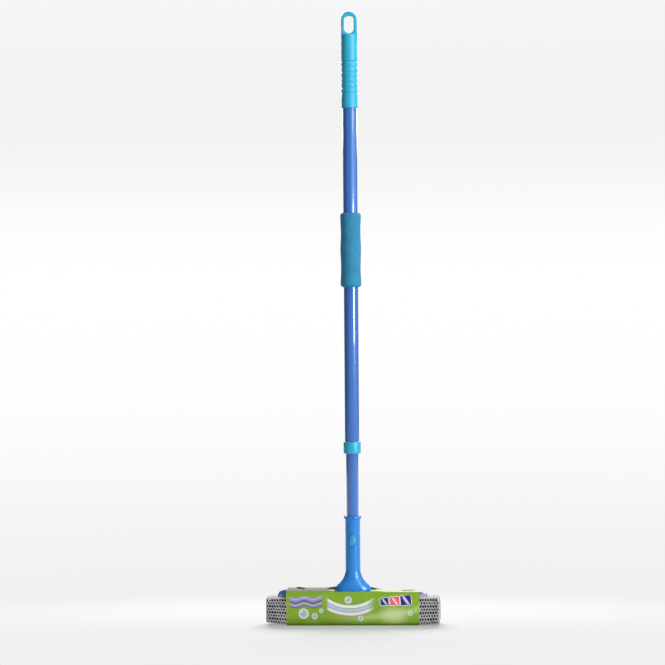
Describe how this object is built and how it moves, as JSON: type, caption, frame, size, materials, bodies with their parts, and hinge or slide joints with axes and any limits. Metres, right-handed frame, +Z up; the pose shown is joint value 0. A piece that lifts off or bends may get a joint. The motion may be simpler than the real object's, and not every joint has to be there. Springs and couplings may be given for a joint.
{
  "type": "window squeegee",
  "caption": "Telescopic window squeegee: a netted sponge and rubber blade in a card sleeve, on a twist-lock pole with a release button, foam grip and hanging eye.",
  "frame": {"origin": "on the floor, on the pole's axis, at the middle of the card sleeve's bottom panel", "axes": "+Z up the pole, -Y to the front where the release button is, +X along the head to the right in the front view"},
  "size_m": [0.2702, 0.044, 0.9503],
  "materials": {
    "sky_blue_plastic": "glossy moulded polypropylene",
    "cyan_plastic": "satin moulded polypropylene",
    "blue_paint": "glossy paint on thin steel tube",
    "teal_foam": "closed-cell foam with a fine grain",
    "black_rubber": "matt black rubber",
    "dark_sponge": "open-cell sponge",
    "grey_net": "knitted nylon net",
    "white_thread": "twisted thread",
    "printed_card": "coated printed card",
    "grey_nylon": "matt nylon",
    "steel": "zinc-plated steel"
  },
  "bodies": {
    "head": {"head_frame": "sky_blue_plastic", "blade_end_stop_left": "sky_blue_plastic", "blade_end_stop_right": "sky_blue_plastic", "rubber_blade": "black_rubber", "sponge_backing": "sky_blue_plastic", "backing_screw_1": "steel", "backing_screw_2": "steel", "backing_screw_3": "steel", "backing_screw_4": "steel", "sponge_core": "dark_sponge", "net_cover": "grey_net", "net_seam_left": "white_thread", "net_seam_right": "white_thread", "card_sleeve": "printed_card", "inner_tube": "blue_paint", "pole_adapter": "cyan_plastic", "adapter_pin": "steel", "plug_pin": "steel", "lock_plug": "grey_nylon", "lock_cap_screw": "steel"},
    "button": {"release_tongue": "cyan_plastic"},
    "expander": {"lock_expander": "grey_nylon"},
    "upper_pole": {"outer_tube": "blue_paint", "tube_collar": "cyan_plastic", "foam_grip": "teal_foam", "hanger_grip": "cyan_plastic"}
  },
  "joints": [
    {"name": "button_press", "type": "hinge", "parent": "head", "child": "button", "pos_m": [0, -0.0085, 0.098], "axis": [-1, 0, 0], "range_deg": [0, 3.8], "stiffness_Nm_per_rad": 5},
    {"name": "twist_lock", "type": "hinge", "parent": "head", "child": "expander", "pos_m": [0, 0, 0.7846], "axis": [0, 0, 1], "range_deg": [-180, 0]},
    {"name": "telescope", "type": "slide", "parent": "expander", "child": "upper_pole", "axis": [0, 0, 1], "range_m": [-0.095, 0.42]}
  ]
}
